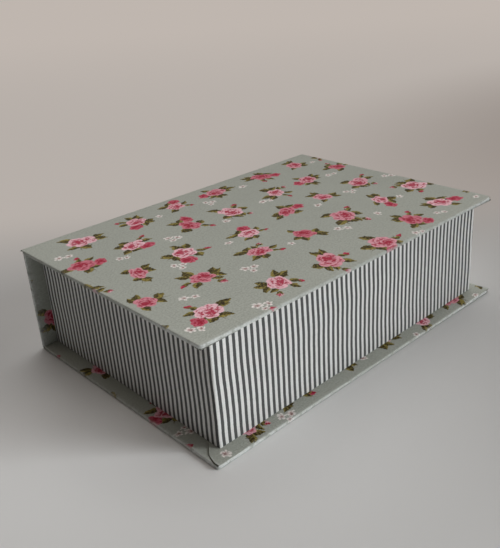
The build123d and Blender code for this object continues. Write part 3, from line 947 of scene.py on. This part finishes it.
class SEWINGBOX_OT_linings(Operator):
    """Adds the plain cloth inside the joints and the spine, and the covered cards"""

    bl_idname = "sewing_box.linings"
    bl_label = "Linings"

    def execute(self, context):
        shapes = settings()[0]
        lining = finish("Lining Cotton")
        for name, node, body in (
            ("cover_joint_lining_cloth", "cover_joint_lining", "cover"),
            ("base_joint_lining_cloth", "base_joint_lining", "base"),
        ):
            self.joint_lining(name, node, body, shapes, lining)
        self.spine_lining(shapes, lining)
        for node, axes, body in (
            ("cover_lining_panel", (0, 1, 2), "cover"),
            ("floor_lining_panel", (0, 1, 2), "base"),
            ("front_lining_panel", (0, 2, 1), "base"),
            ("back_lining_panel", (0, 2, 1), "base"),
            ("left_lining_panel", (1, 2, 0), "base"),
            ("right_lining_panel", (1, 2, 0), "base"),
        ):
            surface = Surface()
            low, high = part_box(node)
            covered_card(surface, low, high, axes, shapes.card_radius)
            piece = surface.piece(node.replace("panel", "card"), [lining])
            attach(piece, body)
            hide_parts(node)
        return {"FINISHED"}

    def joint_lining(self, name, node, body, shapes, lining):
        """Cloth over the back edge of a case board and on to its inner face: an L, rounded at its bend and
        carried along X."""
        x, y, z = spans(node)
        radius = shapes.bend_radius
        turn = spread(0, math.pi / 2, 5)
        bend = np.stack([y[1] - radius + radius * np.cos(turn), z[1] - radius + radius * np.sin(turn)], -1)
        section = np.concatenate([[[y[1], z[0]]], bend, [[y[0], z[1]]]])
        if body == "cover":
            section[:, 1] = z[0] + z[1] - section[:, 1]
        surface = Surface()
        carried_along_x(surface, x, section, 40)
        piece = surface.piece(name, [lining], thickness=shapes.lining_thickness)
        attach(piece, body)
        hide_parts(node)

    def spine_lining(self, shapes, lining):
        """Cloth on the spine's inner face and over the board's long edges: a C, rounded at its bends and
        carried along X."""
        x, y, z = spans("spine_lining")
        radius, short, from_end = shapes.bend_radius, 0.02 * MM, 20 * MM
        away, along = quarter_turn(radius, 4)
        arm_y = np.concatenate([[y[1] - short, y[0] + radius], y[0] + radius - away])
        arm_z = np.concatenate([[0, 0], along])
        low = np.stack([arm_y, z[0] + arm_z], -1)
        high = np.stack([arm_y, z[1] - arm_z], -1)[::-1]
        face = [[y[0], z[0] + from_end], [y[0], z[1] - from_end]]
        surface = Surface()
        carried_along_x(surface, x, np.concatenate([low, face, high]), 48)
        piece = surface.piece("spine_lining_cloth", [lining], thickness=shapes.lining_thickness)
        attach(piece, "spine")
        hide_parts("spine_lining")
        flat = (x[1] - x[0], z[1] - z[0] + 2 * (y[1] - y[0]))


class SEWINGBOX_OT_tray(Operator):
    """Wraps the tray in striped cloth, over its rim and down inside, and covers the dividers"""

    bl_idname = "sewing_box.tray"
    bl_label = "Tray and Dividers"

    def execute(self, context):
        shapes = settings()[0]
        self.striped_cloth(shapes)
        for name in ("long_divider", "left_cross_divider", "right_cross_divider"):
            self.divider(name, shapes)
        return {"FINISHED"}

    def striped_cloth(self, shapes):
        """The section under the wall, up its outside, over the rim and down inside, carried once round the
        tray, with its last stretch laid over its first at the back of the right side."""
        x, y, z = spans("tray_cloth")
        inner = spans("tray_front_wall")[1][1] - y[0] + OVER_BOARD
        radius, down, foot = shapes.rim_radius, shapes.tray_turn_down, 0.4 * MM
        away, along = quarter_turn(radius, 4)
        rise = spread(z[0] + foot, z[1] - radius, 14)
        inset = np.concatenate(
            [[4 * MM, foot], 0 * rise, along, [inner / 2], inner - radius + away, [inner, inner]]
        )
        height = np.concatenate(
            [[z[0], z[0]], rise, z[1] - radius + away, [z[1]], z[1] - along, [z[1] - down / 2, z[1] - down]]
        )
        xs, ys, path = rounded_outline(x, y, shapes.wall_corner_radius, inset, 40)
        path = np.append(path, path[-1] + 1 * MM)
        reach = run_along(inset, height)[:, None]
        height = height[:, None]
        surface = Surface()
        surface.grid(xs, ys, height, path, reach, close_to(z[1] - height, 1.6 * MM))
        striped = finish("Striped Cotton")
        piece = surface.piece("tray_striped_cloth", [striped], merge=False, thickness=shapes.cloth_thickness)
        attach(piece, "base")
        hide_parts("tray_cloth")
        around = 2 * (x[1] - x[0] + y[1] - y[0])
        float(reach[-1, 0])
        lap = Surface()
        back, short, out_of_step = y[1] - shapes.wall_corner_radius, 0.2 * MM, 3 * MM
        rise = spread(z[0] + short, z[1] - short, 16)[:, None]
        run = spread(back, back - shapes.seam_lap, 8)
        out = x[1] + 0.3 * MM * np.clip((back - run) / (2 * MM), 0.1, 1)
        lap.grid(out, run, rise, path[-1] - out_of_step + (back - run), rise)
        piece = lap.piece("tray_cloth_seam", [striped], thickness=0.28 * MM)
        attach(piece, "base")

    def divider(self, name, shapes):
        """Cloth over a divider's top edge between its slots, and only on its two sides at a slot."""
        low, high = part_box(name + "_cloth")
        axis = 0 if name == "long_divider" else 1
        surface = Surface()
        slot_gap, least_flat = 0.15 * MM, 0.2 * MM
        radius = min(2 * shapes.card_radius, (high[1 - axis] - low[1 - axis] - least_flat) / 2)
        stops = [low[axis]]
        if name == "long_divider":
            for other in ("left_cross_divider_cloth", "right_cross_divider_cloth"):
                slot = spans(other)[0]
                stops += [slot[0] - slot_gap, slot[1] + slot_gap]
        stops.append(high[axis])
        for k in range(len(stops) - 1):
            if k % 2:
                up = spread(low[2], (low[2] + high[2]) / 2, 8)[:, None]
                run = spread(stops[k], stops[k + 1], 3)
                for face in (low[1], high[1]):
                    surface.grid(run, face, up, run, up)
            else:
                start, stop = list(low), list(high)
                start[axis], stop[axis] = stops[k], stops[k + 1]
                cloth_over_top(surface, start, stop, axis, radius)
        lining = finish("Lining Cotton")
        piece = surface.piece(name + "_covering", [lining], thickness=shapes.cloth_thickness)
        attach(piece, "base")
        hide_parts(name + "_cloth")


class SEWINGBOX_OT_boards(Operator):
    """Gives every board of the case, the tray and the dividers its grey board finish"""

    bl_idname = "sewing_box.boards"
    bl_label = "Boards"

    def execute(self, context):
        material = finish("Grey Board")
        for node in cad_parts.values():
            if not node.hide_render:
                node.data.materials.clear()
                node.data.materials.append(material)
        return {"FINISHED"}


class SEWINGBOX_OT_studio(Operator):
    """Sets up the table, the soft light and the camera"""

    bl_idname = "sewing_box.studio"
    bl_label = "Studio"

    def execute(self, context):
        _, colours, _, studio = settings()
        self.table(colours)
        self.lights(context.scene, studio)
        self.camera(context.scene, studio)
        context.scene.view_settings.view_transform = "Standard"
        return {"FINISHED"}

    def table(self, colours):
        """A flat table whose colour carries painted shade and light: darker further out in front, to the
        right, to the far left and behind, lighter round the box's left front, and one even shade further
        away. The camera sees its far part glowing, as a bright room would light it, paler further back and
        with a painted shadow to the right."""
        across = spread(-4, 4, 9)
        surface = Surface()
        surface.grid(across, across[:, None], -0.1 * MM, 0.0, 0.0)
        material, w = new_material("Pale Table")
        place = w.put("ShaderNodeTexCoord")["Object"]
        right, back, _ = w.split(place)
        corner = w.math("DISTANCE", place, (-0.109, -0.044, 0.0))
        # painted shade and light in the table's colour: each ramp darkens it towards one side, and the last
        # lightens it round the box's left front
        shade = 0.147
        for way, start, stop, low, high in (
            (right, -0.126, 0.350, 0.0, 0.432),
            (right, -0.379, -0.130, 0.316, 0.0),
            (back, -0.266, -0.033, 0.370, 0.0),
            (back, 0.020, 0.158, 0.0, 0.365),
            (corner, 0.0, 0.102, -0.364, 0.0),
        ):
            shade = w.ramp(way, start, stop, low, high) + shade
        from_box = w.math("LENGTH", place)
        afar = w.ramp(from_box, 0.34, 0.62)
        shade = w.math("MINIMUM", shade, 0.56) * (1.0 - afar) + afar * 0.36
        # the near black that the painted shade mixes in
        grey = w.mix(shade, colours.table, (0.05, 0.045, 0.04))
        near = w.put("ShaderNodeBsdfPrincipled", Base_Color=grey, Roughness=0.8, Specular_IOR_Level=0.2)
        behind = w.math("DOT_PRODUCT", place, (0.677, 0.736, 0.0))
        tone = w.mix(w.ramp(behind, 0.51, 2.15), colours.far_table, colours.wall)
        # a painted shadow on the far table, to the right of the box
        from_painted_shadow = w.math("DISTANCE", place * (1.0, 1.58, 0.0), (0.75, 0.0, 0.0))
        tone = w.mix(w.ramp(from_painted_shadow, 0.02, 0.90, 0.60, 0.0), tone, (0.20, 0.165, 0.145))
        far = w.put("ShaderNodeEmission", Color=tone, Strength=1.0)
        away = w.math("MAXIMUM", w.ramp(behind, 0.07, 0.30), w.ramp(from_box, 0.34, 0.85))
        seen = away * w.put("ShaderNodeLightPath")["Is Camera Ray"]
        blend = w.put("ShaderNodeMixShader", _0=seen, _1=near[0], _2=far[0])
        w.put("ShaderNodeOutputMaterial", Surface=blend[0])
        surface.piece("table", [material])

    def lamp(self, scene, name, place, aim, power, tint, size, opening):
        """A square of soft light at a place, turned to a point. opening is the angle it shines into."""
        data = bpy.data.lights.new(name, "AREA")
        data.shape = "SQUARE"
        data.size, data.energy, data.color, data.spread = size, power, tint, opening
        lamp = bpy.data.objects.new(name, data)
        scene.collection.objects.link(lamp)
        way = np.array(aim) - np.array(place)
        lamp.location = place
        lamp.rotation_euler = (
            math.atan2(math.hypot(way[0], way[1]), -way[2]), 0.0, math.atan2(way[1], way[0]) - math.pi / 2
        )

    def lights(self, scene, studio):
        """A far window to the right of the front, a low glow in front, and a room that is bright high up on
        the right, weak behind the box, and dark in front and on the left."""
        world = bpy.data.worlds.new("Room")
        world.use_nodes = True
        w = Wiring(world.node_tree)
        way = w.put("ShaderNodeTexCoord")["Generated"]
        share = w.ramp(w.math("DOT_PRODUCT", way, (0.55, 0.35, 0.76)), 0.50, 0.97)
        facing = w.math("DOT_PRODUCT", way, (0.20, 0.75, 0.63))
        behind = w.ramp(facing, -0.15, 0.9, 0.012, studio.dim_strength)
        seen = w.put("ShaderNodeLightPath")["Is Camera Ray"]
        background = world.node_tree.nodes["Background"]
        tint = w.mix(share, (1.0, 0.86, 0.76), (1.0, 0.985, 0.965))
        w.join(w.mix(seen, tint, (0.50, 0.46, 0.42)), background.inputs["Color"])
        light = share * studio.fill_strength + behind
        w.join(w.math("MAXIMUM", seen, light), background.inputs["Strength"])
        scene.world = world
        for name, place, aim, power, tint, size, opening in (
            ("Window", (1.43, -2.31, 1.28), (-1.5, -0.75, 0.0), studio.key_power, (0.97, 0.99, 1.0), 1.1, 75),
            ("Front Glow", (-0.13, -0.52, 0.13), (-0.12, -0.1, 0.04), studio.glow_power, (1, 1, 1), 0.3, 140),
        ):
            self.lamp(scene, name, place, aim, power, tint, size, math.radians(opening))

    def camera(self, scene, studio):
        """The photograph's camera, from its place, heading, tilt and roll."""
        data = bpy.data.cameras.new("Camera")
        data.sensor_width = 36.0
        data.lens = studio.camera_lens
        data.shift_x, data.shift_y = studio.camera_shift
        data.clip_start, data.clip_end = 0.01, 20.0
        camera = bpy.data.objects.new("Camera", data)
        scene.collection.objects.link(camera)
        heading, tilt, roll = studio.camera_heading, studio.camera_tilt, studio.camera_roll
        level = np.array([math.cos(heading), -math.sin(heading), 0.0])
        ahead = np.array([math.sin(heading), math.cos(heading), 0.0])
        forward = math.cos(tilt) * ahead - math.sin(tilt) * np.array([0.0, 0.0, 1.0])
        right = math.cos(roll) * level - math.sin(roll) * np.cross(level, forward)
        matrix = np.identity(4)
        matrix[:3] = np.stack([right, np.cross(right, forward), -forward, studio.camera_place], 1)
        camera.matrix_world = Matrix(matrix.tolist())
        scene.camera = camera


class SEWINGBOX_PT_panel(Panel):
    """Lists the steps that dress the sewing box"""

    bl_label = "Sewing Box"
    bl_idname = "SEWINGBOX_PT_panel"
    bl_space_type = "VIEW_3D"
    bl_region_type = "UI"
    bl_category = "Sewing Box"

    def draw(self, context):
        column = self.layout.column()
        for step in STEPS:
            column.operator(step.bl_idname)
        for name in GROUPS:
            block = getattr(context.scene, name)
            for prop in block.bl_rna.properties:
                if prop.identifier not in ("rna_type", "name"):
                    column.prop(block, prop.identifier)


STEPS = (
    SEWINGBOX_OT_flowered_cloth,
    SEWINGBOX_OT_linings,
    SEWINGBOX_OT_tray,
    SEWINGBOX_OT_boards,
    SEWINGBOX_OT_studio,
)
GROUPS = {
    "sewing_box_shapes": SewingBoxShapes,
    "sewing_box_colours": SewingBoxColours,
    "sewing_box_print": SewingBoxPrint,
    "sewing_box_studio": SewingBoxStudio,
}


def register():
    for kind in (*GROUPS.values(), *STEPS, SEWINGBOX_PT_panel):
        bpy.utils.register_class(kind)
    for name, kind in GROUPS.items():
        setattr(bpy.types.Scene, name, PointerProperty(type=kind))


def unregister():
    for name in GROUPS:
        delattr(bpy.types.Scene, name)
    for kind in reversed((*GROUPS.values(), *STEPS, SEWINGBOX_PT_panel)):
        bpy.utils.unregister_class(kind)


def main():
    register()
    bpy.ops.sewing_box.flowered_cloth()
    bpy.ops.sewing_box.linings()
    bpy.ops.sewing_box.tray()
    bpy.ops.sewing_box.boards()
    bpy.ops.sewing_box.studio()


if __name__ == "__main__":
    main()
